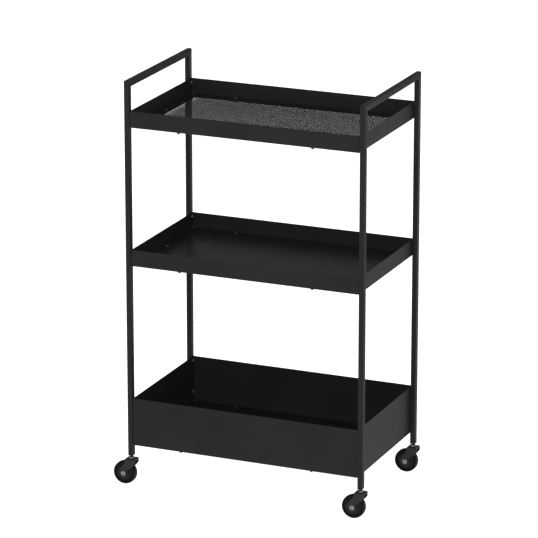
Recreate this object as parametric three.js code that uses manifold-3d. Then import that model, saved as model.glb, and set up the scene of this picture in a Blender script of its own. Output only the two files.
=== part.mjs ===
// Rolling pantry cart: two upright side frames that end in push handles, three steel trays
// between them (a mesh-floored top tray, a shallow middle tray and a deep bin) and four
// swivel casters. Millimetres, +Z up, X along the cart, origin on the floor under the middle.
import * as THREE from "three";
import { mergeVertices } from "three/addons/utils/BufferGeometryUtils.js";
import Module from "manifold-3d";

const wasm = await Module();
wasm.setup();

// ---- driving dimensions ----
const CART_LENGTH = 505; // over the two side frames
const CART_DEPTH = 300; // over the legs
const CART_HEIGHT = 835; // floor to the top of the handles
const GAP = 0.3; // running or assembly gap between pieces that touch

const TUBE_WIDE = 10.3; // tube section along X
const TUBE_DEEP = 13.3; // tube section along Y in the legs and along Z in the handle bar
const TUBE_WALL = 1.2;
const LEG_FOOT = 64.5; // height of the legs' open lower ends

const SHEET = 1; // steel sheet of the walls and floors
const WALL_INSET = 2.5; // long walls sit this far inside the legs' outer faces
const FLANGE = 16; // inward flange along the bottom of every wall
const TRAY_TALL = 33.6;
const BIN_TALL = 99;
const TRAYS = [
  { name: "top", bottom: 741, tall: TRAY_TALL, screwDrops: [9.2] },
  { name: "middle", bottom: 458.9, tall: TRAY_TALL, screwDrops: [8.6] },
  { name: "bin", bottom: 84.2, tall: BIN_TALL, screwDrops: [9, 76.5] },
];

const SCREW = { shank: 1.9, tip: 0.8, head: 3.7, headTall: 2.6, reach: 5.5, sides: 12 };
const SCREW_DOME = { crownRadius: 0.6, crownAt: 0.9, rimAt: 0.3 }; // as parts of the head's size
const SCREW_HOLE = SCREW.shank + 0.4;

const WHEEL_RADIUS = 24;
const WHEEL_SIDES = 24;
const TYRE = { wide: 16, thick: 6, tread: 7.2, shoulder: [0.8, 2.2], side: [2.6, 0.6] };
const TYRE_LIP = { chamfer: [1.4, 0.4], top: 2.4 }; // where the tyre rises off the hub
const HUB = { wide: 13, boss: 6, disc: 14.6, discWide: 14, groove: 10.4, rim: 1.2, slope: 0.5 };
const CASTER_TRAIL = 14.2; // the axle trails this far behind the swivel axis
const AXLE_RADIUS = 2.2;
const RIVET = { radius: 4.6, thick: 0.9, edge: [0.5, 0.4], hollow: 1.6, hollowDeep: 5, cone: 0.8 };
const FORK = { inner: 8.7, outer: 10.8, nose: 10.5, top: 55.5, plate: 3, boss: 9 };
const FORK_SEAT = { radius: 7.2, tall: 6.2 }; // the thick part round the stem
const FORK_FRONT = { chin: [10.5, 45.5], knee: [3.5, 37], shin: [-5.2, 30.5] }; // X, Z
const FORK_BACK = { nape: [-10.5, 48], heel: [-18, 38.5] };
const BOSS_ARC = [158, 385]; // degrees
const STEM = { radius: 2.7, neck: 3.4, flange: 5.5, flangeTall: 2, top: 84, head: 4.4, headTall: 1.1 };
const STEM_CHAMFER = 1;
const SOCKET = { top: 86, rim: 2, collar: 3.8 }; // plug top, rim under the leg, neck radius
const ROUND_SIDES = 16; // sides of small round parts
const OVERLAP = 1; // how far joined shapes and cutting tools run past the faces they meet

// ---- values worked out from the dimensions ----
const LEG_X = (CART_LENGTH - TUBE_WIDE) / 2; // middle of a leg
const LEG_Y = (CART_DEPTH - TUBE_DEEP) / 2;
const SCREW_Y = LEG_Y - 1; // off the leg's middle, so that a head clears the long wall
const WALL_X = CART_LENGTH / 2 - TUBE_WIDE - GAP; // outer face of the end walls
const WALL_Y = CART_DEPTH / 2 - WALL_INSET; // outer face of the long walls
const END_WALL_LONG = 2 * WALL_Y;
const LONG_WALL_LONG = 2 * (WALL_X - SHEET - GAP);
const LONG_FLANGE_LONG = 2 * (WALL_X - FLANGE - GAP);
const AXLE_Z = WHEEL_RADIUS;
// The casters all trail the same way, so the cart's outline is not centred on the trays.
const MIDDLE_X = (CASTER_TRAIL + WHEEL_RADIUS - FORK.nose) / 2;
const LEGS = [
  { name: "front_left", x: -1, y: -1 },
  { name: "front_right", x: 1, y: -1 },
  { name: "back_left", x: -1, y: 1 },
  { name: "back_right", x: 1, y: 1 },
];

// ---- materials ----
const steelBlack = { color: 0x2b2b2c, roughness: 0.5, metalness: 0.2 };
const screwBlack = { color: 0x3a3a3b, roughness: 0.45, metalness: 0.4 };
const zinc = { color: 0xb4b4b2, roughness: 0.35, metalness: 0.9 };
const plasticBlack = { color: 0x1d1d1e, roughness: 0.55, metalness: 0 };
const tyreBlack = { color: 0x161616, roughness: 0.7, metalness: 0 };

// ---- solids ----
function solidOf(geometry) {
  const plain = geometry.clone();
  plain.deleteAttribute("normal");
  plain.deleteAttribute("uv");
  const merged = mergeVertices(plain, 1e-4);
  return new wasm.Manifold(
    new wasm.Mesh({
      numProp: 3,
      vertProperties: merged.attributes.position.array,
      triVerts: new Uint32Array(merged.index.array),
    }),
  );
}

function geometryOf(solid) {
  const mesh = solid.getMesh();
  const geometry = new THREE.BufferGeometry();
  geometry.setAttribute("position", new THREE.BufferAttribute(mesh.vertProperties, 3));
  geometry.setIndex(new THREE.BufferAttribute(mesh.triVerts, 1));
  geometry.computeVertexNormals();
  return geometry;
}

function joined(first, ...others) {
  return others.reduce((whole, piece) => whole.add(solidOf(piece)), solidOf(first));
}

function cutFrom(solid, tools) {
  return tools.reduce((left, tool) => left.subtract(solidOf(tool)), solid);
}

// A box from its lowest to its highest corner.
function box(low, high) {
  const size = high.map((value, axis) => value - low[axis]);
  const middle = high.map((value, axis) => (value + low[axis]) / 2);
  return new THREE.BoxGeometry(...size).translate(...middle);
}

// An outline in Y and Z, extruded along X from x0 for the given length.
function extrudeAlongX(points, x0, length) {
  const shape = new THREE.Shape(points.map(([y, z]) => new THREE.Vector2(y, z)));
  const geometry = new THREE.ExtrudeGeometry(shape, { depth: length, bevelEnabled: false });
  const turn = new THREE.Matrix4().makeBasis(
    new THREE.Vector3(0, 1, 0),
    new THREE.Vector3(0, 0, 1),
    new THREE.Vector3(1, 0, 0),
  );
  return geometry.applyMatrix4(turn).translate(x0, 0, 0);
}

// An outline in X and Z, extruded along Y from y0 to y1.
function extrudeAlongY(shape, y0, y1) {
  const geometry = new THREE.ExtrudeGeometry(shape, {
    depth: y1 - y0,
    bevelEnabled: false,
    curveSegments: 12,
  });
  return geometry.rotateX(Math.PI / 2).translate(0, y1, 0);
}

// A profile of [radius, distance along Y] turned about the Y axis.
function turned(points, sides) {
  const profile = points.map(([radius, along]) => new THREE.Vector2(radius, along));
  return new THREE.LatheGeometry(profile, sides);
}

function cylinderAlongX(radius, x0, x1, y, z) {
  return new THREE.CylinderGeometry(radius, radius, x1 - x0, SCREW.sides)
    .rotateZ(Math.PI / 2)
    .translate((x0 + x1) / 2, y, z);
}

function uprightCylinder(radius, low, high) {
  return new THREE.CylinderGeometry(radius, radius, high - low, ROUND_SIDES)
    .rotateX(Math.PI / 2)
    .translate(0, 0, (low + high) / 2);
}

function addMesh(parent, name, geometry, look) {
  const mesh = new THREE.Mesh(geometry, new THREE.MeshStandardMaterial(look));
  mesh.name = name;
  parent.add(mesh);
  return mesh;
}

// ---- side frames ----
// One inverted U of rectangular tube: two legs and the handle bar, mitred at the top.
// Local X = 0 is the middle of the tube; the trays lie towards local -X.
function sideFrameGeometry() {
  const uOutline = (inset, foot) => {
    const outer = CART_DEPTH / 2 - inset;
    const inner = CART_DEPTH / 2 - TUBE_DEEP + inset;
    const top = CART_HEIGHT - inset;
    const under = CART_HEIGHT - TUBE_DEEP + inset;
    return [
      [-outer, foot],
      [-inner, foot],
      [-inner, under],
      [inner, under],
      [inner, foot],
      [outer, foot],
      [outer, top],
      [-outer, top],
    ];
  };
  const tube = extrudeAlongX(uOutline(0, LEG_FOOT), -TUBE_WIDE / 2, TUBE_WIDE);
  const bore = extrudeAlongX(
    uOutline(TUBE_WALL, LEG_FOOT - OVERLAP),
    -TUBE_WIDE / 2 + TUBE_WALL,
    TUBE_WIDE - 2 * TUBE_WALL,
  );
  const holes = [-SCREW_Y, SCREW_Y].flatMap((y) =>
    screwHeights().map((z) => cylinderAlongX(SCREW_HOLE, -TUBE_WIDE, 0, y, z)),
  );
  return geometryOf(cutFrom(solidOf(tube), [bore, ...holes]));
}

function screwHeights() {
  return TRAYS.flatMap((tray) => tray.screwDrops.map((drop) => tray.bottom + tray.tall - drop));
}

function addSideFrames(cart) {
  const geometry = sideFrameGeometry();
  const right = addMesh(cart, "side_frame_right", geometry, steelBlack);
  right.position.x = LEG_X;
  const left = addMesh(cart, "side_frame_left", geometry, steelBlack);
  left.position.x = -LEG_X;
  left.rotation.z = Math.PI;
}

// ---- trays ----
// A wall with its bottom flange, running along local X, with its outer face at local Y = 0,
// its inside towards local +Y and its lower edge at local Z = 0.
function wallSolid(length, tall) {
  const outline = [
    [0, 0],
    [FLANGE, 0],
    [FLANGE, SHEET],
    [SHEET, SHEET],
    [SHEET, tall],
    [0, tall],
  ];
  return solidOf(extrudeAlongX(outline, -length / 2, length));
}

// The cuts that leave a wall's flange only between -flangeHalf and +flangeHalf.
function flangeNotches(half, flangeHalf) {
  const low = -OVERLAP;
  const high = SHEET + OVERLAP;
  const inside = FLANGE + OVERLAP;
  return [
    box([-half - OVERLAP, SHEET, low], [-flangeHalf, inside, high]),
    box([flangeHalf, SHEET, low], [half + OVERLAP, inside, high]),
  ];
}

// The long wall's flange stops short of the end walls' flanges.
function longWallGeometry(tray) {
  const notches = flangeNotches(LONG_WALL_LONG / 2, LONG_FLANGE_LONG / 2);
  return geometryOf(cutFrom(wallSolid(LONG_WALL_LONG, tray.tall), notches));
}

// The end wall covers the legs' inner faces and has the holes of the corner screws. Its
// flange is cut back at both ends to clear the long walls.
function endWallGeometry(tray) {
  const half = END_WALL_LONG / 2;
  const notches = flangeNotches(half, half - SHEET - GAP);
  const holes = [-SCREW_Y, SCREW_Y].flatMap((x) =>
    tray.screwDrops.map((drop) =>
      new THREE.CylinderGeometry(SCREW_HOLE, SCREW_HOLE, 4 * SHEET, SCREW.sides).translate(
        x,
        0,
        tray.tall - drop,
      ),
    ),
  );
  return geometryOf(cutFrom(wallSolid(END_WALL_LONG, tray.tall), [...notches, ...holes]));
}

function floorGeometry() {
  const halfX = WALL_X - SHEET - GAP;
  const halfY = WALL_Y - SHEET - GAP;
  const low = SHEET + GAP;
  return box([-halfX, -halfY, low], [halfX, halfY, low + SHEET]);
}

function addTray(cart, tray) {
  const group = new THREE.Group();
  group.position.z = tray.bottom;
  cart.add(group);
  addMesh(group, `${tray.name}_floor`, floorGeometry(), steelBlack);
  const front = addMesh(group, `${tray.name}_front_wall`, longWallGeometry(tray), steelBlack);
  front.position.y = -WALL_Y;
  const back = addMesh(group, `${tray.name}_back_wall`, longWallGeometry(tray), steelBlack);
  back.position.y = WALL_Y;
  back.rotation.z = Math.PI;
  const left = addMesh(group, `${tray.name}_left_wall`, endWallGeometry(tray), steelBlack);
  left.position.x = -WALL_X;
  left.rotation.z = -Math.PI / 2;
  const right = addMesh(group, `${tray.name}_right_wall`, endWallGeometry(tray), steelBlack);
  right.position.x = WALL_X;
  right.rotation.z = Math.PI / 2;
}

// ---- corner screws ----
// A domed head inside the tray and a shank through the end wall into the leg, along local +Y.
function screwGeometry() {
  const { shank, tip, head, headTall, reach, sides } = SCREW;
  const profile = [
    [0, -headTall],
    [head * SCREW_DOME.crownRadius, -headTall * SCREW_DOME.crownAt],
    [head, -headTall * SCREW_DOME.rimAt],
    [head, 0],
    [shank, 0],
    [shank, reach - tip],
    [0, reach],
  ];
  return turned(profile, sides);
}

function addCornerScrews(cart) {
  const seat = WALL_X - SHEET - GAP;
  for (const leg of LEGS) {
    for (const tray of TRAYS) {
      tray.screwDrops.forEach((drop, row) => {
        const place = row === 0 ? "" : "_lower";
        const name = `${tray.name}_screw_${leg.name}${place}`;
        const screw = addMesh(cart, name, screwGeometry(), screwBlack);
        screw.position.set(leg.x * seat, leg.y * SCREW_Y, tray.bottom + tray.tall - drop);
        screw.rotation.z = (-leg.x * Math.PI) / 2;
      });
    }
  }
}

// ---- casters ----
// Everything below is built round the swivel axis, with the axle trailing towards -X.

// The plastic plug in the leg's end: a block inside the tube, a rim under it and a neck.
function socketGeometry() {
  const halfX = TUBE_WIDE / 2 - TUBE_WALL - GAP;
  const halfY = TUBE_DEEP / 2 - TUBE_WALL - GAP;
  const rimTop = LEG_FOOT - GAP;
  const rimLow = rimTop - SOCKET.rim;
  const neckLow = FORK.top + GAP + STEM.flangeTall + GAP;
  const rim = box([-TUBE_WIDE / 2, -TUBE_DEEP / 2, rimLow], [TUBE_WIDE / 2, TUBE_DEEP / 2, rimTop]);
  const plug = box([-halfX, -halfY, rimTop - OVERLAP], [halfX, halfY, SOCKET.top]);
  const neck = uprightCylinder(SOCKET.collar, neckLow, rimLow + OVERLAP);
  const bore = uprightCylinder(STEM.radius + GAP, neckLow - OVERLAP, SOCKET.top + OVERLAP);
  return geometryOf(cutFrom(joined(rim, plug, neck), [bore]));
}

// The steel stem: a pin in the socket, a washer flange on the fork and a riveted head below.
function stemGeometry() {
  const seatLow = FORK.top - FORK_SEAT.tall;
  const flangeLow = FORK.top + GAP;
  const profile = [
    [0, seatLow - GAP - STEM.headTall],
    [STEM.head, seatLow - GAP - STEM.headTall],
    [STEM.head, seatLow - GAP],
    [STEM.neck, seatLow - GAP],
    [STEM.neck, flangeLow],
    [STEM.flange, flangeLow],
    [STEM.flange, flangeLow + STEM.flangeTall],
    [STEM.radius, flangeLow + STEM.flangeTall],
    [STEM.radius, STEM.top - STEM_CHAMFER],
    [STEM.radius - STEM_CHAMFER, STEM.top],
    [0, STEM.top],
  ];
  return turned(profile, ROUND_SIDES).rotateX(Math.PI / 2);
}

// One arm of the fork from the side: a broad top that narrows to a round boss at the axle.
function forkSideShape() {
  const [bossFrom, bossTo] = BOSS_ARC.map(THREE.MathUtils.degToRad);
  const shape = new THREE.Shape();
  shape.moveTo(FORK.nose, FORK.top);
  shape.lineTo(-FORK.nose, FORK.top);
  shape.lineTo(...FORK_BACK.nape);
  shape.lineTo(...FORK_BACK.heel);
  shape.absarc(-CASTER_TRAIL, AXLE_Z, FORK.boss, bossFrom, bossTo);
  shape.lineTo(...FORK_FRONT.shin);
  shape.lineTo(...FORK_FRONT.knee);
  shape.lineTo(...FORK_FRONT.chin);
  shape.closePath();
  return shape;
}

// Two arms under a flat plate, with a thick seat for the stem. Front and back are open.
function forkGeometry() {
  const shape = forkSideShape();
  const front = extrudeAlongY(shape, -FORK.outer, -FORK.inner);
  const back = extrudeAlongY(shape, FORK.inner, FORK.outer);
  const plateLow = FORK.top - FORK.plate;
  const halfSpan = FORK.inner + OVERLAP;
  const plate = box([-FORK.nose, -halfSpan, plateLow], [FORK.nose, halfSpan, FORK.top]);
  const seatLow = FORK.top - FORK_SEAT.tall;
  const seat = uprightCylinder(FORK_SEAT.radius, seatLow, plateLow + OVERLAP);
  const stemHole = uprightCylinder(STEM.neck + GAP, seatLow - OVERLAP, FORK.top + OVERLAP);
  const axleHole = new THREE.CylinderGeometry(
    AXLE_RADIUS + GAP,
    AXLE_RADIUS + GAP,
    4 * FORK.outer,
    ROUND_SIDES,
  ).translate(-CASTER_TRAIL, 0, AXLE_Z);
  return geometryOf(cutFrom(joined(plate, seat, front, back), [stemHole, axleHole]));
}

// The axle is a rivet with a broad head outside each arm and a hollow end.
function axleGeometry() {
  const seat = FORK.outer + GAP;
  const end = seat + RIVET.thick;
  const half = [
    [0, end - RIVET.hollowDeep],
    [RIVET.hollow, end - RIVET.hollowDeep + RIVET.cone],
    [RIVET.hollow, end],
    [RIVET.radius - RIVET.edge[0], end],
    [RIVET.radius, end - RIVET.edge[1]],
    [RIVET.radius, seat],
    [AXLE_RADIUS, seat],
  ];
  const mirrored = half.map(([radius, along]) => [radius, -along]).reverse();
  return turned([...half, ...mirrored].reverse(), ROUND_SIDES);
}

// The hub: a bearing boss, a flat disc, a groove round it and the rim that carries the tyre.
function hubGeometry() {
  const outside = WHEEL_RADIUS - TYRE.thick;
  const half = HUB.wide / 2;
  const disc = HUB.discWide / 2;
  const groove = HUB.groove / 2;
  const bore = AXLE_RADIUS + GAP;
  const side = [
    [bore, TYRE.wide / 2],
    [HUB.boss, TYRE.wide / 2],
    [HUB.boss, disc],
    [HUB.disc, disc],
    [HUB.disc + HUB.slope, groove],
    [outside - HUB.rim - HUB.slope, groove],
    [outside - HUB.rim, half],
    [outside, half],
  ];
  const mirrored = side.map(([radius, along]) => [radius, -along]).reverse();
  return turned([...side, ...mirrored, side[0]].reverse(), WHEEL_SIDES);
}

function tyreGeometry() {
  const inner = WHEEL_RADIUS - TYRE.thick + GAP;
  const half = TYRE.wide / 2;
  const flat = WHEEL_RADIUS / Math.cos(Math.PI / WHEEL_SIDES); // the flats touch the floor
  const side = [
    [inner, HUB.wide / 2],
    [inner + TYRE_LIP.chamfer[0], half - TYRE_LIP.chamfer[1]],
    [inner + TYRE_LIP.top, half],
    [flat - TYRE.side[0], half - TYRE.side[1]],
    [flat - TYRE.shoulder[0], half - TYRE.shoulder[1]],
    [flat, TYRE.tread / 2],
  ];
  const mirrored = side.map(([radius, along]) => [radius, -along]).reverse();
  return turned([...side, ...mirrored, side[0]].reverse(), WHEEL_SIDES);
}

function addCaster(cart, leg) {
  const swivel = new THREE.Group();
  swivel.position.set(leg.x * LEG_X, leg.y * LEG_Y, 0);
  cart.add(swivel);
  addMesh(swivel, `leg_socket_${leg.name}`, socketGeometry(), plasticBlack);
  addMesh(swivel, `caster_stem_${leg.name}`, stemGeometry(), zinc);
  addMesh(swivel, `caster_fork_${leg.name}`, forkGeometry(), plasticBlack);
  const wheel = new THREE.Group();
  wheel.position.set(-CASTER_TRAIL, 0, AXLE_Z);
  swivel.add(wheel);
  addMesh(wheel, `caster_axle_${leg.name}`, axleGeometry(), zinc);
  const halfSide = Math.PI / WHEEL_SIDES;
  addMesh(wheel, `wheel_hub_${leg.name}`, hubGeometry(), plasticBlack).rotation.y = halfSide;
  addMesh(wheel, `wheel_tyre_${leg.name}`, tyreGeometry(), tyreBlack).rotation.y = halfSide;
}

// ---- the cart ----
const cart = new THREE.Group();
cart.position.x = MIDDLE_X;
addSideFrames(cart);
TRAYS.forEach((tray) => addTray(cart, tray));
addCornerScrews(cart);
LEGS.forEach((leg) => addCaster(cart, leg));

export default cart;
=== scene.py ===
"""Rolling pantry cart: the looks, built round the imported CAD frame.

Every black steel piece is remade with its real bends, bevels and seams; the top tray gets its
expanded mesh; the casters get their moulded forks, flat-disc hubs and rounded tyres. Shapes are
drawn in millimetres in the CAD frame, and mesh_of() turns them into metres.
"""
import math

import bmesh
import bpy
from mathutils import Matrix, Vector


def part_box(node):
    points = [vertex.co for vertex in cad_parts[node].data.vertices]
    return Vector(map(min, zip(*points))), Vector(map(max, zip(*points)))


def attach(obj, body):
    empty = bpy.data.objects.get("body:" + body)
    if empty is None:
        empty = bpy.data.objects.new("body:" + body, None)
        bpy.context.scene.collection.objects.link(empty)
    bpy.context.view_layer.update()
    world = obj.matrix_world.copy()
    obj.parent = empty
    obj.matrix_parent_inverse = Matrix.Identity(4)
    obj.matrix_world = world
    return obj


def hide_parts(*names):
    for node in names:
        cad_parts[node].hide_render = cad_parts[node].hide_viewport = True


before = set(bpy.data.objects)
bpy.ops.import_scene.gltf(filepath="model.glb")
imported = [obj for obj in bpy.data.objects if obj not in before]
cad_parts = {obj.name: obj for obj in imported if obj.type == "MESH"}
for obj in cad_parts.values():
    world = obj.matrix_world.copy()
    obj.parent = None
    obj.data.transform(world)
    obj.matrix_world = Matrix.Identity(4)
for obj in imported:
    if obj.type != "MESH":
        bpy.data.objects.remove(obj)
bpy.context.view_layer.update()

MM = 0.001
PAST = 1.0  # millimetres that a crossed or cutting shape runs past the faces it meets
LEGS = [f"{front}_{side}" for front in ("front", "back") for side in ("left", "right")]
TRAYS = ("top", "middle", "bin")

# ---- steel sizes, in millimetres ----
TUBE_DEEP = 13.3  # tube section along Y in the legs
TUBE_WALL = 1.2
TUBE_CORNER = 1.3
TUBE_INNER_CORNER = 0.58
TUBE_EDGE = 0.45  # softened edges of the mitres and the open feet
WELD_RISE = 0.12  # the ground weld at each mitre still stands this proud of the side faces
WELD_HALF = 0.7
SHEET = 1.0
BEND = 1.0  # middle radius of a fold
FOLD_RELIEF = 2.0  # the flange starts this far in from the corner
MITRE_GAP = 0.4
CORNER_GAP = 0.28  # CAD leaves this at each end of a long wall, and the real sheets meet
EDGE = 0.28  # softened sheet edges
FLOOR_CORNER = 1.5

# ---- top tray mesh, in millimetres ----
MESH_BORDER_X = 20.0
MESH_BORDER_Y = 28.0
OPENING_CORNER = 1.0
CELL_X = 11.85
CELL_Y = 6.7
STRAND = 1.35
BOND = 1.6  # half the length of the solid metal between two cells of a row
BOND_TIP = 0.55  # half the height of an opening's blunt ends
STRAND_THICK = 0.77
STRAND_TILT = 0.2

# ---- fasteners, in millimetres ----
CORNER_SCREW = {"head": 3.7, "tall": 2.6, "shank": 1.9, "long": 5.0, "key": 1.35}
FLOOR_SCREW = {"head": 3.7, "tall": 2.2, "shank": 1.7, "long": 7.2, "key": 1.2}
FLOOR_SCREW_SHORT = 2.2  # the screws in the corners end in the sheets below them
SCREW_CROWN = 0.45  # flat top of a head, as a part of the head's radius
SCREW_SHOULDER = (0.93, 0.5)  # where the dome turns down, as parts of the head's radius and height
SCREW_LIP = (0.15, 0.12)  # the head's edge, in and up from its seat
SCREW_CHAMFER = 0.5
KEY_FLOOR = 0.35  # bottom of the key hole, as a part of the head's height
SCREW_SIDES = 32
NUT_HALF_FLAT = 3.4
NUT_TALL = 3.2
NUT_EDGE = 0.3
NUT_PLAY = 0.02
FLOOR_SCREW_ENDS = 5.2  # corner floor screws, in from the end walls' outer faces
FLOOR_SCREW_SIDES = 6.5  # and in from the long walls' outer faces
LONG_SCREW_X = 141.0  # floor screws along a long wall, either side of its middle
LONG_SCREW_IN = 9.1
END_SCREW_IN = 10.8

# ---- casters, in millimetres, round the swivel axis with the wheel trailing to -X ----
CASTER_GAP = 0.3  # between the leg, the socket, the stem's flange and the fork
FORK_THICK = 2.1
FORK_PLATE = 3.0  # thickness of the plate over the arms
FORK_NOSE = 10.5
FORK_ROUND = 2.2  # shoulders over the arms
FORK_FILLET = 0.8  # under the plate, between the arms
FORK_END_ROUND = 1.4  # the plate's front and back edges
FORK_FRONT = ((-5.0, 30.8, 3.0), (3.5, 37.0, 8.0), (FORK_NOSE, 45.5, 5.0))  # X, Z and rounding
FORK_BACK = ((-FORK_NOSE, 48.0, 3.0), (-18.0, 38.5, 8.0))
BOSS_RADIUS = 9.0
BOSS_START, BOSS_END = 158, 385  # degrees round the axle, where the arm's edges meet the boss
SEAT_RADIUS = 7.2  # the thick round the stem, under the plate
SEAT_TALL = 6.2
STEM_HOLE = 3.7
AXLE_HOLE = 2.5
FORK_REACH = 40.0  # a crossed section runs this far either way along X, past the whole fork
STEM = {"pin": 2.7, "tip": 1.7, "neck": 3.4, "flange_tall": 2.0, "head": 4.4, "head_tall": 1.1}
STEM_EDGE = 0.08
STEM_SIDES = 48
HOLE_SIDES = 32
SOCKET_RIM = 2.0  # plastic rim under the leg
SOCKET_NECK = 3.8
SOCKET_BORE = 3.0
SOCKET_CORNER = 0.6
MOULDED_EDGE = 0.3
RIVET_SHANK = 2.2
RIVET_HEAD_THICK = 0.9
RIVET_HOLLOW = 1.6
RIVET_SIDES = 40
WHEEL_SIDES = 96
WHEEL_RADIUS = 24.0
HUB_BORE = 2.5
HUB_RIM = 18.0
HUB_SIDE = (  # radius, distance in from the tyre's side face, rounding
    (HUB_BORE, 0.1, 0.1),
    (5.6, 0.1, 0.5),  # boss
    (6.3, 1.0, 0.6),
    (14.4, 1.0, 0.6),  # disc
    (15.0, 2.8, 0.6),
    (HUB_RIM - 1.7, 2.8, 0.5),  # groove
    (HUB_RIM - 1.1, 1.5, 0.4),
    (HUB_RIM, 2.0, 0.3),
)
TYRE_SIDE = (  # the same three for the tyre
    (HUB_RIM + 0.2, 2.6, 0.2),
    (HUB_RIM + 1.2, 0.9, 0.5),
    (HUB_RIM + 2.2, 0.1, 0.6),
    (WHEEL_RADIUS - 2.2, 0.4, 1.4),
    (WHEEL_RADIUS - 0.5, 2.0, 1.6),
    (WHEEL_RADIUS, 5.0, 2.0),  # tread
)

# ---- camera and light, in metres, degrees and watts, with the lens in millimetres ----
CAMERA_AT = (2.695, -6.286, 2.529)
CAMERA_YAW = 23.17
CAMERA_PITCH = 16.99
CAMERA_LENS = 240.9
CAMERA_SENSOR = 36
CAMERA_CLIP = 60
SOFTBOXES = (  # name, place, what it faces, size, power
    ("softbox_front", (0.9, -3.2, 2.3), (0, 0, 0.4), (2.6, 2.0), 76),
    ("softbox_right", (3.2, -0.5, 1.4), (0, 0, 0.4), (2.0, 2.0), 4),
    ("softbox_top", (0.2, -0.2, 3.6), (0, 0, 0.3), (3.0, 3.0), 40),
)
WORLD_LIGHT = 0.36
FLOOR_TONE = 0.35
FLOOR_GLOW = 1.18
FLOOR_HALF = 12


# ---- materials ----
def new_material(name):
    material = bpy.data.materials.new(name)
    material.use_nodes = True
    nodes = material.node_tree.nodes
    shader = nodes["Principled BSDF"]
    place = nodes.new("ShaderNodeTexCoord")
    return material, shader, place.outputs["Object"]


def noise(material, place, scale, detail=2.0, roughness=0.5):
    node = material.node_tree.nodes.new("ShaderNodeTexNoise")
    node.inputs["Scale"].default_value = scale
    node.inputs["Detail"].default_value = detail
    node.inputs["Roughness"].default_value = roughness
    material.node_tree.links.new(place, node.inputs["Vector"])
    return node.outputs["Fac"]


def ramp(material, source, low, high, start=0.3, end=0.7):
    """A grey or colour that runs from low to high as source runs from start to end."""
    node = material.node_tree.nodes.new("ShaderNodeValToRGB")
    stops = node.color_ramp.elements
    for stop, at, value in ((stops[0], start, low), (stops[1], end, high)):
        stop.position = at
        stop.color = (*value, 1) if isinstance(value, tuple) else (value, value, value, 1)
    material.node_tree.links.new(source, node.inputs["Fac"])
    return node.outputs["Color"]


def bump(material, shader, source, strength, distance):
    node = material.node_tree.nodes.new("ShaderNodeBump")
    node.inputs["Strength"].default_value = strength
    node.inputs["Distance"].default_value = distance
    links = material.node_tree.links
    links.new(source, node.inputs["Height"])
    if shader.inputs["Normal"].is_linked:
        links.new(shader.inputs["Normal"].links[0].from_socket, node.inputs["Normal"])
    links.new(node.outputs["Normal"], shader.inputs["Normal"])


def coated(name, dark, light, rough, specular, grain, grain_depth):
    """Black finish with a fine grain, a slow drift of tone and uneven gloss.

    Its tone runs from dark to light and its roughness over the pair rough. grain is how many
    grains there are to a metre, and grain_depth is how deep they are in metres.
    """
    material, shader, place = new_material(name)
    links = material.node_tree.links
    drift = noise(material, place, scale=7.0, detail=3.0)
    links.new(ramp(material, drift, dark, light), shader.inputs["Base Color"])
    gloss = noise(material, place, scale=grain * 0.45, detail=4.0, roughness=0.65)
    links.new(ramp(material, gloss, *rough), shader.inputs["Roughness"])
    shader.inputs["Specular IOR Level"].default_value = specular
    fine = noise(material, place, scale=grain, detail=3.0, roughness=0.6)
    bump(material, shader, fine, strength=0.35, distance=grain_depth)
    swell = noise(material, place, scale=55.0)
    bump(material, shader, swell, strength=0.12, distance=0.0002)
    return material


def bare_steel(name, low, high):
    """Bare or plated steel with a cloudy tone and fine marks."""
    material, shader, place = new_material(name)
    links = material.node_tree.links
    cloud = noise(material, place, scale=420.0, detail=4.0)
    links.new(ramp(material, cloud, low, high), shader.inputs["Base Color"])
    gloss = noise(material, place, scale=900.0, detail=3.0)
    links.new(ramp(material, gloss, low=0.28, high=0.46), shader.inputs["Roughness"])
    shader.inputs["Metallic"].default_value = 1.0
    marks = noise(material, place, scale=1600.0)
    bump(material, shader, marks, strength=0.25, distance=0.00004)
    return material


LOOKS = {
    "powder_coat": coated("powder_coat", 0.0145, 0.0175, (0.42, 0.54), 0.04, 1100.0, 0.00006),
    "floor_coat": coated("floor_coat", 0.008, 0.0105, (0.27, 0.37), 0.06, 1100.0, 0.00003),
    "mesh_floor": coated("mesh_floor", 0.008, 0.0105, (0.27, 0.37), 0.06, 1300.0, 0.00003),
    # Corner screws: black heads with a painted highlight. Their tone is lifted well above the floor
    # screws' black to stand for the glint on their domes.
    "screw_black": coated("screw_black", 0.05, 0.075, (0.3, 0.42), 0.6, 1500.0, 0.00003),
    "floor_screw": coated("floor_screw", 0.012, 0.018, (0.3, 0.42), 0.3, 1500.0, 0.00003),
    "zinc_steel": bare_steel("zinc_steel", (0.42, 0.42, 0.41), (0.58, 0.58, 0.57)),
    "rivet_steel": bare_steel("rivet_steel", (0.2, 0.2, 0.195), (0.3, 0.3, 0.29)),
    "fork_plastic": coated("fork_plastic", 0.01, 0.013, (0.42, 0.55), 0.2, 1900.0, 0.00004),
    "hub_plastic": coated("hub_plastic", 0.006, 0.009, (0.4, 0.52), 0.12, 1700.0, 0.00003),
    "tyre": coated("tyre", 0.003, 0.005, (0.45, 0.6), 0.08, 800.0, 0.00006),
}


# ---- mesh helpers ----
def node_box(node):
    """The lowest and highest corners of a CAD node, in millimetres."""
    low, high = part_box(node)
    return low / MM, high / MM


def middle_of(node):
    low, high = node_box(node)
    return (low + high) / 2


def mesh_of(name, bm, look):
    """A mesh in metres from shapes drawn in millimetres, smooth shaded."""
    bmesh.ops.recalc_face_normals(bm, faces=bm.faces)
    bmesh.ops.scale(bm, vec=(MM, MM, MM), verts=bm.verts)
    mesh = bpy.data.meshes.new(name)
    bm.to_mesh(mesh)
    bm.free()
    mesh.materials.append(LOOKS[look])
    mesh.shade_smooth()
    return mesh


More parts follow.
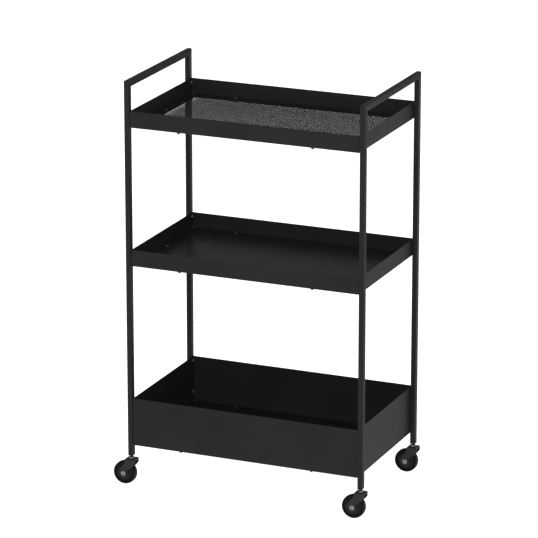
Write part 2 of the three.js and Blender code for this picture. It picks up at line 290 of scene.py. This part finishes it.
def add_piece(name, mesh, body, replaced=()):
    piece = bpy.data.objects.new(name, mesh)
    bpy.context.scene.collection.objects.link(piece)
    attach(piece, body)
    if replaced:
        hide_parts(*replaced)
    return piece


def thicken(piece, thickness):
    solidify = piece.modifiers.new("thickness", "SOLIDIFY")
    solidify.thickness = thickness * MM
    solidify.offset = 0
    solidify.use_even_offset = True
    return piece


def soften(piece, width, segments=2, degrees=35):
    """Rounds the piece's edges and keeps its flat faces flat in shading."""
    bevel = piece.modifiers.new("soft_edges", "BEVEL")
    bevel.width = width * MM
    bevel.segments = segments
    bevel.limit_method = "ANGLE"
    bevel.angle_limit = math.radians(degrees)
    bevel.use_clamp_overlap = True
    bevel.harden_normals = True
    return piece


def bridge(bm, first, second):
    """Quads between two rings of the same length."""
    count = len(first)
    for i in range(count):
        j = (i + 1) % count
        bm.faces.new((first[i], first[j], second[j], second[i]))


def bridge_round(bm, rings):
    """Joins each ring to the next, and the last to the first."""
    for first, second in zip(rings, rings[1:] + rings[:1]):
        bridge(bm, first, second)


def arc(centre, radius, start, end, steps):
    """Points on an arc, with angles in degrees."""
    angles = [math.radians(start + (end - start) * i / steps) for i in range(steps + 1)]
    return [(centre[0] + radius * math.cos(a), centre[1] + radius * math.sin(a)) for a in angles]


def rounded_rectangle(half_x, half_y, radius, steps=5):
    corners = ((1, 1, 0), (-1, 1, 90), (-1, -1, 180), (1, -1, 270))
    points = []
    for side_x, side_y, start in corners:
        centre = (side_x * (half_x - radius), side_y * (half_y - radius))
        points += arc(centre, radius, start, start + 90, steps)
    return points


def rounded_path(points, steps=4):
    """An open outline from points of (x, y), or (x, y, radius) where a corner is rounded."""
    flat = [Vector(p[:2]) for p in points]
    result = [tuple(flat[0])]
    for i in range(1, len(flat) - 1):
        to_last = flat[i - 1] - flat[i]
        to_next = flat[i + 1] - flat[i]
        if len(points[i]) < 3:
            result.append(tuple(flat[i]))
            continue
        half = to_last.angle(to_next) / 2
        reach = min(points[i][2] / math.tan(half), 0.49 * to_last.length, 0.49 * to_next.length)
        a = flat[i] + to_last.normalized() * reach
        b = flat[i] + to_next.normalized() * reach
        for k in range(steps + 1):
            t = k / steps
            result.append(tuple(a * (1 - t) ** 2 + flat[i] * 2 * t * (1 - t) + b * t * t))
    result.append(tuple(flat[-1]))
    return result


def lathe(bm, profile, sides, matrix=Matrix.Identity(4)):
    """Turns a profile of (radius, height) about Z. A radius of 0 closes an end."""
    rings = []
    for radius, height in profile:
        count = sides if radius > 1e-6 else 1
        turn = [math.tau * k / sides for k in range(count)]
        points = [(radius * math.cos(a), radius * math.sin(a), height) for a in turn]
        rings.append([bm.verts.new(matrix @ Vector(p)) for p in points])
    for first, second in zip(rings, rings[1:]):
        if len(first) == len(second):
            bridge(bm, first, second)
            continue
        tip, ring = (first[0], second) if len(first) == 1 else (second[0], first)
        for i in range(len(ring)):
            bm.faces.new((tip, ring[i], ring[(i + 1) % len(ring)]))
    return rings


def lathe_ring(bm, profile, sides, matrix=Matrix.Identity(4)):
    """Turns a closed profile about Z into a ring."""
    rings = lathe(bm, profile, sides, matrix)
    bridge(bm, rings[-1], rings[0])


def prism(bm, outline, low, high, matrix=Matrix.Identity(4)):
    """A closed prism over an outline of (x, y), from height low to high."""
    rings = [[bm.verts.new(matrix @ Vector((x, y, z))) for x, y in outline] for z in (low, high)]
    bridge(bm, *rings)
    for ring in rings:
        bm.faces.new(ring)


def hexagon(half_flat):
    radius = half_flat / math.cos(math.pi / 6)
    return arc((0, 0), radius, 30, 330, 5)


def combined(mesh, tool, operation):
    """The mesh joined to the tool (UNION), cut by it (DIFFERENCE) or kept inside it (INTERSECT)."""
    body, cutter = (bpy.data.objects.new("combined", data) for data in (mesh, tool))
    for item in (body, cutter):
        bpy.context.scene.collection.objects.link(item)
    modifier = body.modifiers.new("combined", "BOOLEAN")
    modifier.operation = operation
    modifier.object = cutter
    bpy.context.view_layer.update()
    evaluated = body.evaluated_get(bpy.context.evaluated_depsgraph_get())
    result = bpy.data.meshes.new_from_object(evaluated)
    for item in (body, cutter):
        bpy.data.objects.remove(item)
    return result


# ---- side frames ----
def side_frame(side):
    """Inverted U of rectangular tube, mitred and welded at its two top corners, open at its feet."""
    node = f"side_frame_{side}"
    low, high = node_box(node)
    middle_x = (low.x + high.x) / 2
    half_x = (high.x - low.x) / 2
    half_n = TUBE_DEEP / 2
    leg_y = high.y - half_n
    bar_z = high.z - half_n
    foot = low.z

    def rings_for(inset, rise, corner):
        section = rounded_rectangle(half_x - inset, half_n - inset, corner)
        swollen = rounded_rectangle(half_x - inset + rise, half_n - inset, TUBE_CORNER)
        back = WELD_HALF
        places = [
            (section, lambda n: (-leg_y - n, foot)),
            (section, lambda n: (-leg_y - n, bar_z + n - back)),
            (swollen, lambda n: (-leg_y - n, bar_z + n)),
            (section, lambda n: (-leg_y - n + back, bar_z + n)),
            (section, lambda n: (leg_y + n - back, bar_z + n)),
            (swollen, lambda n: (leg_y + n, bar_z + n)),
            (section, lambda n: (leg_y + n, bar_z + n - back)),
            (section, lambda n: (leg_y + n, foot)),
        ]
        return [[(middle_x + x, *place(n)) for x, n in ring] for ring, place in places]

    bm = bmesh.new()
    shells = []
    for shell in ((0, WELD_RISE, TUBE_CORNER), (TUBE_WALL, 0, TUBE_INNER_CORNER)):
        rings = [[bm.verts.new(p) for p in ring] for ring in rings_for(*shell)]
        for first, second in zip(rings, rings[1:]):
            bridge(bm, first, second)
        shells.append(rings)
    bridge(bm, shells[0][0], shells[1][0])
    bridge(bm, shells[0][-1], shells[1][-1])
    name = f"tube_frame_{side}"
    piece = add_piece(name, mesh_of(name, bm, "powder_coat"), "cart", [node])
    soften(piece, TUBE_EDGE, segments=3, degrees=40)


# ---- trays ----
def tray_box(tray):
    """The outer corners of a tray: over its end walls along X and its long walls along Y."""
    left, right = node_box(f"{tray}_left_wall"), node_box(f"{tray}_right_wall")
    return left[0], right[1]


def folded_wall(length, tall, flange, corner_half):
    """A wall's middle surface: an upright sheet, a fold and a flange whose ends are mitred.

    X runs along the wall, Y points into the tray from the outer face, and Z is up. corner_half
    is half the tray's outer size along the wall, where the mitres would meet.
    """
    bm = bmesh.new()
    half = length / 2
    face = SHEET / 2
    relief = min(half, corner_half - FOLD_RELIEF)
    tip = corner_half - flange - MITRE_GAP
    columns = (-half, -relief, -tip, tip, relief, half)

    def row(y, z, xs):
        return [bm.verts.new((x, y, z)) for x in xs]

    def strip(first, second):
        for i in range(len(first) - 1):
            bm.faces.new((first[i], first[i + 1], second[i + 1], second[i]))

    top = row(face, tall, columns)
    fold = row(face, face + BEND, columns)
    strip(top, fold)
    last = fold[1:-1]
    for y, z in arc((face + BEND, face + BEND), BEND, 180, 270, 6)[1:]:
        lower = row(y, z, columns[1:-1])
        strip(last, lower)
        last = lower
    edge = row(flange - EDGE, face, columns[2:4])
    bm.faces.new((last[1], last[2], edge[1], edge[0]))
    bm.faces.new((last[0], last[1], edge[0]))
    bm.faces.new((last[2], last[3], edge[1]))
    return bm


def add_wall(tray, side):
    node = f"{tray}_{side}_wall"
    low, high = node_box(node)
    outer_low, outer_high = tray_box(tray)
    middle = (low + high) / 2
    if side in ("front", "back"):
        length, flange = high.x - low.x + 2 * CORNER_GAP, high.y - low.y
        corner_half = (outer_high.x - outer_low.x) / 2
    else:
        length, flange = high.y - low.y, high.x - low.x
        corner_half = (outer_high.y - outer_low.y) / 2
    turn, x, y = {
        "front": (0, middle.x, low.y),
        "left": (-90, low.x, middle.y),
        "right": (90, high.x, middle.y),
        "back": (180, middle.x, high.y),
    }[side]
    place = Matrix.Translation((x, y, low.z)) @ Matrix.Rotation(math.radians(turn), 4, "Z")
    bm = folded_wall(length, high.z - low.z, flange, corner_half)
    bm.transform(place)
    name = f"{node}_sheet"
    piece = add_piece(name, mesh_of(name, bm, "powder_coat"), "cart", [node])
    soften(thicken(piece, SHEET), EDGE)


def sheet_floor(tray):
    node = f"{tray}_floor"
    low, high = node_box(node)
    middle = (low + high) / 2
    half = (high - low) / 2
    bm = bmesh.new()
    outline = rounded_rectangle(half.x, half.y, FLOOR_CORNER, 3)
    prism(bm, outline, low.z, high.z, Matrix.Translation((middle.x, middle.y, 0)))
    name = f"{node}_sheet"
    piece = add_piece(name, mesh_of(name, bm, "floor_coat"), "cart", [node])
    soften(piece, EDGE)


def mesh_tile(grid, x, y, z, fade):
    """One opening of the mesh in its own rhombus, with its strands twisted.

    fade runs from 0 at the border, where the strands lie flat, to 1.
    """
    slope = math.hypot(CELL_X, CELL_Y) / CELL_X
    open_y = CELL_Y / 2 - STRAND / 2 * slope
    open_x = CELL_X / 2 - BOND
    tilt = STRAND_TILT * fade
    left, right = grid(x - CELL_X / 2, y, z), grid(x + CELL_X / 2, y, z)
    top, bottom = grid(x, y + CELL_Y / 2, z), grid(x, y - CELL_Y / 2, z)
    hole_top, hole_bottom = grid(x, y + open_y, z - tilt), grid(x, y - open_y, z + tilt)
    left_up, left_down = grid(x - open_x, y + BOND_TIP, z), grid(x - open_x, y - BOND_TIP, z)
    right_up, right_down = grid(x + open_x, y + BOND_TIP, z), grid(x + open_x, y - BOND_TIP, z)
    return (
        (left, left_up, hole_top, top),
        (top, hole_top, right_up, right),
        (right, right_down, hole_bottom, bottom),
        (bottom, hole_bottom, left_down, left),
        (left, left_down, left_up),
        (right, right_up, right_down),
    )


def add_mesh_border(low, high, half, opening):
    """The flat border, with half its outer size and half its opening's size as (x, y)."""
    middle = (low + high) / 2
    bm = bmesh.new()
    rings = []
    for (half_x, half_y), radius, heights in (
        (half, FLOOR_CORNER, (low.z, high.z)),
        (opening, OPENING_CORNER, (high.z, low.z)),
    ):
        outline = rounded_rectangle(half_x, half_y, radius, 3)
        for height in heights:
            ring = [bm.verts.new((middle.x + x, middle.y + y, height)) for x, y in outline]
            rings.append(ring)
    bridge_round(bm, rings)
    name = "top_floor_border"
    border = add_piece(name, mesh_of(name, bm, "mesh_floor"), "cart", ["top_floor"])
    soften(border, EDGE)


def add_lattice(middle, opening):
    """The expanded mesh, half a cell past each side of the opening so that it ends in the border."""
    open_x, open_y = opening
    bm = bmesh.new()
    known = {}

    def grid(x, y, z):
        key = (round(x, 3), round(y, 3))
        if key not in known:
            known[key] = bm.verts.new((middle.x + x, middle.y + y, z))
        return known[key]

    count_x = int(open_x / CELL_X) + 1
    count_y = int(open_y / CELL_Y) + 1
    for row in range(-2 * count_y, 2 * count_y + 1):
        shift = (row % 2) / 2
        for column in range(-count_x, count_x + 1):
            x, y = (column + shift) * CELL_X, row * CELL_Y / 2
            from_edge = min((open_x - abs(x)) / CELL_X, (open_y - abs(y)) / CELL_Y)
            if from_edge < -0.5:
                continue
            fade = min(1, max(0, from_edge))
            for corners in mesh_tile(grid, x, y, middle.z, fade):
                bm.faces.new(corners)
    name = "top_floor_mesh"
    lattice = add_piece(name, mesh_of(name, bm, "mesh_floor"), "cart")
    thicken(lattice, STRAND_THICK)


def mesh_floor():
    """The top tray's floor: a flat border round an expanded mesh."""
    low, high = node_box("top_floor")
    half = ((high.x - low.x) / 2, (high.y - low.y) / 2)
    opening = (half[0] - MESH_BORDER_X, half[1] - MESH_BORDER_Y)
    add_mesh_border(low, high, half, opening)
    add_lattice((low + high) / 2, opening)


def add_tray(tray):
    for side in ("front", "back", "left", "right"):
        add_wall(tray, side)
    if tray == "top":
        mesh_floor()
    else:
        sheet_floor(tray)


# ---- fasteners ----
def screw_mesh(name, size, look):
    """A button-head screw with a hexagonal key hole. The head stands on Z = 0, facing +Z."""
    head, tall, shank, tip = size["head"], size["tall"], size["shank"], -size["long"]
    shoulder_in, shoulder_up = SCREW_SHOULDER
    lip_in, lip_up = SCREW_LIP
    profile = rounded_path(
        [
            (0, tall),
            (head * SCREW_CROWN, tall, 1.0),
            (head * shoulder_in, tall * shoulder_up, 1.2),
            (head, lip_up, 0.2),
            (head - lip_in, 0, 0.1),
            (shank, 0, 0.1),
            (shank, tip + SCREW_CHAMFER, 0.1),
            (shank - SCREW_CHAMFER, tip, 0.1),
            (0, tip),
        ]
    )
    solid, key = bmesh.new(), bmesh.new()
    lathe(solid, profile, SCREW_SIDES)
    prism(key, hexagon(size["key"]), tall * KEY_FLOOR, tall + PAST)
    return combined(mesh_of(name, solid, look), mesh_of("key", key, look), "DIFFERENCE")


def add_corner_screws():
    """The screws through the end walls, each turned to an angle of its own."""
    # The heads take the black screw look that carries a painted highlight.
    mesh = screw_mesh("corner_screw", CORNER_SCREW, "screw_black")
    for node in sorted(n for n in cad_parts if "_screw_" in n):
        low, high = node_box(node)
        middle = (low + high) / 2
        on_left = "left" in node
        seat = high.x - CORNER_SCREW["tall"] if on_left else low.x + CORNER_SCREW["tall"]
        turn = Matrix.Rotation(math.radians(90 if on_left else -90), 4, "Y")
        twist = Matrix.Rotation(middle.z + middle.y, 4, "Z")
        placed = mesh.copy()
        to_metres = Matrix.Translation(Vector((seat, middle.y, middle.z)) * MM)
        placed.transform(to_metres @ turn @ twist)
        add_piece(f"{node}_head", placed, "cart", [node])


def floor_screw_places(tray):
    """Where a tray's floor screws stand: those with a nut below, and those in the corners."""
    low, high = tray_box(tray)
    middle = (low + high) / 2
    half_x, half_y = (high.x - low.x) / 2, (high.y - low.y) / 2
    corner_x, corner_y = half_x - FLOOR_SCREW_ENDS, half_y - FLOOR_SCREW_SIDES
    bolted, corners = [], []
    for side in (-1, 1):
        corners += [(side * corner_x, corner_y), (side * corner_x, -corner_y)]
        bolted += [(side * LONG_SCREW_X, half_y - LONG_SCREW_IN)]
        bolted += [(side * LONG_SCREW_X, LONG_SCREW_IN - half_y)]
        bolted += [(side * (half_x - END_SCREW_IN), 0)]
    return [[(middle.x + x, middle.y + y) for x, y in group] for group in (bolted, corners)]


def joined_copies(name, look, copies, height):
    """One mesh of copies at angles of their own, from pairs of a mesh and its places."""
    bm = bmesh.new()
    for mesh, places in copies:
        for x, y in places:
            placed = mesh.copy()
            twist = Matrix.Rotation(x * y, 4, "Z")
            placed.transform(Matrix.Translation(Vector((x, y, height)) * MM) @ twist)
            bm.from_mesh(placed)
            bpy.data.meshes.remove(placed)
    joined = bpy.data.meshes.new(name)
    bm.to_mesh(joined)
    bm.free()
    joined.materials.append(LOOKS[look])
    return joined


def nut_mesh():
    """A hexagonal nut that hangs from Z = 0."""
    bm = bmesh.new()
    outer = hexagon(NUT_HALF_FLAT)
    inner = arc((0, 0), FLOOR_SCREW["shank"] + NUT_PLAY, 30, 330, 5)
    rings = []
    for points, height in ((outer, -NUT_TALL), (outer, 0), (inner, 0), (inner, -NUT_TALL)):
        rings.append([bm.verts.new((x, y, height)) for x, y in points])
    bridge_round(bm, rings)
    bmesh.ops.bevel(bm, geom=bm.edges, offset=NUT_EDGE, segments=2, affect="EDGES")
    return mesh_of("nut", bm, "floor_screw")


def add_floor_screws():
    """Two pieces on each tray: its floor screws and their nuts."""
    screw = screw_mesh("floor_screw", FLOOR_SCREW, "floor_screw")
    short_size = {**FLOOR_SCREW, "long": FLOOR_SCREW_SHORT}
    short = screw_mesh("short_floor_screw", short_size, "floor_screw")
    nut = nut_mesh()
    for tray in TRAYS:
        bolted, corners = floor_screw_places(tray)
        floor_top = node_box(f"{tray}_floor")[1].z
        tray_low = tray_box(tray)[0].z
        for kind, copies, height in (
            ("screws", [(screw, bolted), (short, corners)], floor_top),
            ("nuts", [(nut, bolted)], tray_low),
        ):
            name = f"{tray}_floor_{kind}"
            joined = joined_copies(name, "floor_screw", copies, height)
            add_piece(name, joined, "cart")


# ---- casters ----
def add_socket(leg):
    """The plastic plug: a block inside the tube, a rim with the tube's outline and a round neck."""
    node = f"leg_socket_{leg}"
    low, high = node_box(node)
    rim_top = node_box("side_frame_left")[0].z - CASTER_GAP
    rim_low = rim_top - SOCKET_RIM
    axis = (low + high) / 2
    half = (high - low) / 2
    outer = rounded_rectangle(half.x, half.y, TUBE_CORNER)
    inset = TUBE_WALL + CASTER_GAP
    block = rounded_rectangle(half.x - inset, half.y - inset, SOCKET_CORNER)
    # The round rings have a point for each of the outline's, from the same angle on.
    start = math.degrees(math.atan2(outer[0][1], outer[0][0]))
    end = start + 360 * (1 - 1 / len(outer))
    bore, neck = (arc((0, 0), r, start, end, len(outer) - 1) for r in (SOCKET_BORE, SOCKET_NECK))
    bm = bmesh.new()
    rings = []
    for points, z in (
        (bore, high.z),
        (block, high.z),
        (block, rim_top),
        (outer, rim_top),
        (outer, rim_low),
        (neck, rim_low),
        (neck, low.z),
        (bore, low.z),
    ):
        rings.append([bm.verts.new((axis.x + x, axis.y + y, z)) for x, y in points])
    bridge_round(bm, rings)
    name = f"{node}_moulding"
    piece = add_piece(name, mesh_of(name, bm, "fork_plastic"), "cart", [node])
    soften(piece, MOULDED_EDGE)


def add_stem(leg):
    """The steel pin: a riveted head under the fork, a washer flange over it and a chamfered tip."""
    node = f"caster_stem_{leg}"
    low, high = node_box(node)
    axis = (low + high) / 2
    flange = (high.x - low.x) / 2
    flange_low = node_box(f"caster_fork_{leg}")[1].z + CASTER_GAP
    flange_top = flange_low + STEM["flange_tall"]
    head_top = low.z + STEM["head_tall"]
    pin, tip = STEM["pin"], STEM["tip"]
    profile = rounded_path(
        [
            (0, low.z),
            (STEM["head"], low.z, 0.5),
            (STEM["head"], head_top, 0.2),
            (STEM["neck"], head_top, 0.15),
            (STEM["neck"], flange_low, 0.15),
            (flange - 0.2, flange_low, 0.2),
            (flange, flange_low + 0.4, 0.3),
            (flange, flange_top - 0.4, 0.3),
            (flange - 0.4, flange_top, 0.3),
            (pin, flange_top, 0.1),
            (pin, high.z - (pin - tip), 0.15),
            (tip, high.z, 0.15),
            (0, high.z),
        ]
    )
    bm = bmesh.new()
    lathe(bm, profile, STEM_SIDES, Matrix.Translation((axis.x, axis.y, 0)))
    name = f"{node}_pin"
    piece = add_piece(name, mesh_of(name, bm, "zinc_steel"), f"caster_{leg}", [node])
    soften(piece, STEM_EDGE, degrees=40)


def fork_outline(axle, top):
    """The fork from the side, in X and Z about the swivel axis."""
    boss = arc(axle, BOSS_RADIUS, BOSS_START, BOSS_END, 32)
    plate = [(FORK_NOSE, top, FORK_END_ROUND), (-FORK_NOSE, top, FORK_END_ROUND)]
    path = [boss[-1], *FORK_FRONT, *plate, *FORK_BACK, boss[0]]
    return boss[:-1] + rounded_path(path, steps=6)[:-1]


def fork_section(half, low, top):
    """Across the fork, in Y and Z: two arms under a plate, with rounded shoulders."""
    inner, under = half - FORK_THICK, top - FORK_PLATE
    path = [
        (-half, low),
        (-half, top, FORK_ROUND),
        (half, top, FORK_ROUND),
        (half, low),
        (inner, low),
        (inner, under, FORK_FILLET),
        (-inner, under, FORK_FILLET),
        (-inner, low),
    ]
    return rounded_path(path, steps=5)


def fork_mesh(axle, half, top):
    """The fork about the swivel axis: section and side view crossed, a seat, and two holes."""
    side, section, seat, holes = (bmesh.new() for _ in range(4))
    upright = Matrix.Rotation(math.pi / 2, 4, "X")
    prism(side, fork_outline(axle, top), -half - PAST, half + PAST, upright)
    along_x = Matrix(((0, 0, 1, 0), (1, 0, 0, 0), (0, 1, 0, 0), (0, 0, 0, 1)))
    prism(section, fork_section(half, 0, top), -FORK_REACH, FORK_REACH, along_x)
    low, high = top - SEAT_TALL, top - PAST
    lathe(seat, [(0, low), (SEAT_RADIUS, low), (SEAT_RADIUS, high), (0, high)], STEM_SIDES)
    below, above, past = low - PAST, top + PAST, half + PAST
    stem_hole = [(0, below), (STEM_HOLE, below), (STEM_HOLE, above), (0, above)]
    axle_hole = [(0, -past), (AXLE_HOLE, -past), (AXLE_HOLE, past), (0, past)]
    lathe(holes, stem_hole, HOLE_SIDES)
    lathe(holes, axle_hole, HOLE_SIDES, across(axle[0], 0, axle[1]))
    mesh = mesh_of("fork", section, "fork_plastic")
    for shape, operation in ((side, "INTERSECT"), (seat, "UNION"), (holes, "DIFFERENCE")):
        mesh = combined(mesh, mesh_of(operation, shape, "fork_plastic"), operation)
    return mesh


def add_fork(leg):
    node = f"caster_fork_{leg}"
    low, high = node_box(node)
    swivel = middle_of(f"leg_socket_{leg}")
    axle = middle_of(f"caster_axle_{leg}")
    name = f"{node}_moulding"
    mesh = fork_mesh((axle.x - swivel.x, axle.z), (high.y - low.y) / 2, high.z)
    mesh.transform(Matrix.Translation(Vector((swivel.x, swivel.y, 0)) * MM))
    mesh.name = name
    piece = add_piece(name, mesh, f"caster_{leg}", [node])
    soften(piece, MOULDED_EDGE)


def across(x, y, z):
    """Turns a lathe's Z axis to point along Y."""
    return Matrix.Translation((x, y, z)) @ Matrix.Rotation(math.radians(-90), 4, "X")


def mirrored(side):
    """A lathe profile from its +Z half, whose last point is at Z = 0."""
    return side + [(radius, -along) for radius, along in reversed(side[:-1])]


def add_axle(leg):
    """The rivet: a hollow head outside each arm, on a plain shank."""
    node = f"caster_axle_{leg}"
    low, high = node_box(node)
    axis = (low + high) / 2
    end = (high.y - low.y) / 2
    head = (high.x - low.x) / 2
    side = rounded_path(
        [
            (0, end - 5.0),
            (RIVET_HOLLOW - 0.5, end - 4.8, 0.2),
            (RIVET_HOLLOW, end - 4.2, 0.3),
            (RIVET_HOLLOW, end - 0.5, 0.2),
            (RIVET_HOLLOW + 0.5, end, 0.4),
            (head - 0.5, end - 0.05, 0.4),
            (head, end - 0.55, 0.3),
            (head, end - RIVET_HEAD_THICK, 0.05),
            (RIVET_SHANK, end - RIVET_HEAD_THICK, 0.05),
            (RIVET_SHANK, 0),
        ]
    )
    bm = bmesh.new()
    lathe(bm, mirrored(side), RIVET_SIDES, across(axis.x, axis.y, axis.z))
    name = f"{node}_rivet"
    add_piece(name, mesh_of(name, bm, "rivet_steel"), f"caster_{leg}", [node])


def add_wheel_part(leg, part, side, steps, look, ending):
    """The hub or the tyre, turned from the half of its section that side gives."""
    low, high = node_box(f"wheel_tyre_{leg}")
    axis = (low + high) / 2
    half = (high.y - low.y) / 2
    outline = [(radius, half - inwards, rounding) for radius, inwards, rounding in side]
    profile = rounded_path([(side[0][0], 0), *outline, (side[-1][0], 0)], steps)
    bm = bmesh.new()
    lathe_ring(bm, mirrored(profile)[:-1], WHEEL_SIDES, across(axis.x, axis.y, axis.z))
    node = f"wheel_{part}_{leg}"
    name = f"{node}_{ending}"
    add_piece(name, mesh_of(name, bm, look), f"wheel_{leg}", [node])


def add_caster(leg):
    add_socket(leg)
    add_stem(leg)
    add_fork(leg)
    add_axle(leg)
    add_wheel_part(leg, "hub", HUB_SIDE, 4, "hub_plastic", "moulding")
    add_wheel_part(leg, "tyre", TYRE_SIDE, 5, "tyre", "rubber")


# ---- studio ----
def add_floor():
    bm = bmesh.new()
    size = FLOOR_HALF / MM
    corners = ((-size, -size), (size, -size), (size, size), (-size, size))
    bm.faces.new([bm.verts.new((x, y, 0)) for x, y in corners])
    LOOKS["floor"] = studio_white()
    mesh = mesh_of("studio_floor", bm, "floor")
    floor = bpy.data.objects.new("studio_floor", mesh)
    bpy.context.scene.collection.objects.link(floor)


def studio_white():
    material, shader, _ = new_material("studio_white")
    shader.inputs["Base Color"].default_value = (FLOOR_TONE, FLOOR_TONE, FLOOR_TONE, 1)
    shader.inputs["Roughness"].default_value = 1
    shader.inputs["Specular IOR Level"].default_value = 0
    shader.inputs["Emission Color"].default_value = (1, 1, 1, 1)
    shader.inputs["Emission Strength"].default_value = FLOOR_GLOW
    return material


def add_light(name, place, target, size, watts):
    light = bpy.data.lights.new(name, "AREA")
    light.shape = "RECTANGLE"
    light.size, light.size_y = size
    light.energy = watts
    lamp = bpy.data.objects.new(name, light)
    bpy.context.scene.collection.objects.link(lamp)
    lamp.location = place
    lamp.rotation_euler = (Vector(target) - Vector(place)).to_track_quat("-Z", "Y").to_euler()


def add_world():
    world = bpy.data.worlds.new("studio")
    world.use_nodes = True
    background = world.node_tree.nodes["Background"]
    background.inputs["Color"].default_value = (1, 1, 1, 1)
    background.inputs["Strength"].default_value = WORLD_LIGHT
    bpy.context.scene.world = world


def add_camera():
    data = bpy.data.cameras.new("camera")
    data.lens = CAMERA_LENS
    data.sensor_width = CAMERA_SENSOR
    data.clip_end = CAMERA_CLIP
    camera = bpy.data.objects.new("camera", data)
    bpy.context.scene.collection.objects.link(camera)
    camera.location = CAMERA_AT
    camera.rotation_euler = (math.radians(90 - CAMERA_PITCH), 0, math.radians(CAMERA_YAW))
    bpy.context.scene.camera = camera


def add_studio():
    bpy.context.scene.view_settings.view_transform = "Standard"
    add_floor()
    add_world()
    for softbox in SOFTBOXES:
        add_light(*softbox)
    add_camera()


for side in ("left", "right"):
    side_frame(side)
for tray in TRAYS:
    add_tray(tray)
add_corner_screws()
add_floor_screws()
for leg in LEGS:
    add_caster(leg)
add_studio()
